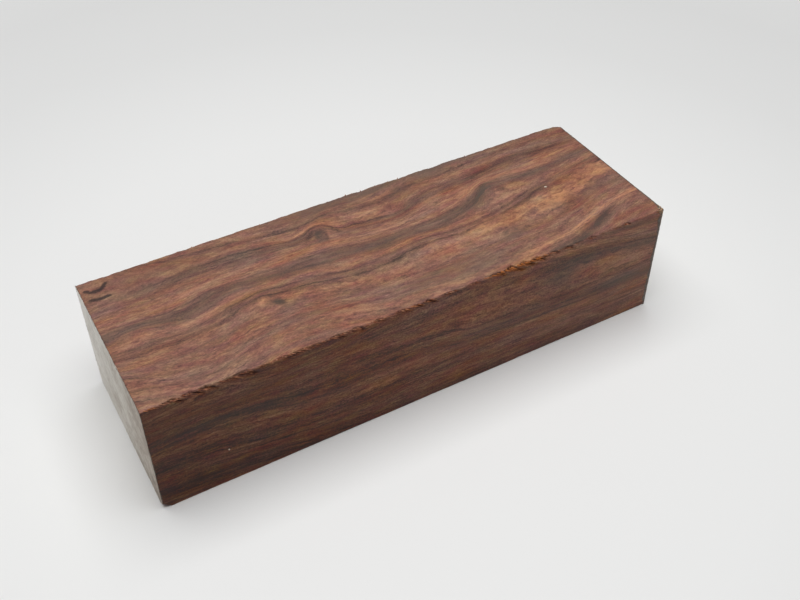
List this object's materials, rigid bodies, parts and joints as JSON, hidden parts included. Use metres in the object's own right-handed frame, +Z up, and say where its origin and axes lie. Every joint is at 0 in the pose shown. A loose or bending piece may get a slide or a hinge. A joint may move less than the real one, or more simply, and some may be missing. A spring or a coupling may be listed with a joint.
{
  "type": "arizona ironwood block",
  "caption": "Rectangular block of desert ironwood heartwood with sharp sawn arrises, figured long-grain faces and end grain sealed with pale wax.",
  "frame": {"origin": "middle of the base, the lowest face as the block lies", "axes": "+X along the grain and the longest side, +Y from the front face to the back face, +Z up through the thickness"},
  "size_m": [0.1354, 0.0444, 0.0318],
  "materials": {
    "heartwood": "sawn and lightly sanded, unfinished, satin"
  },
  "bodies": {
    "root": {"ironwood_block": "heartwood"}
  },
  "joints": []
}
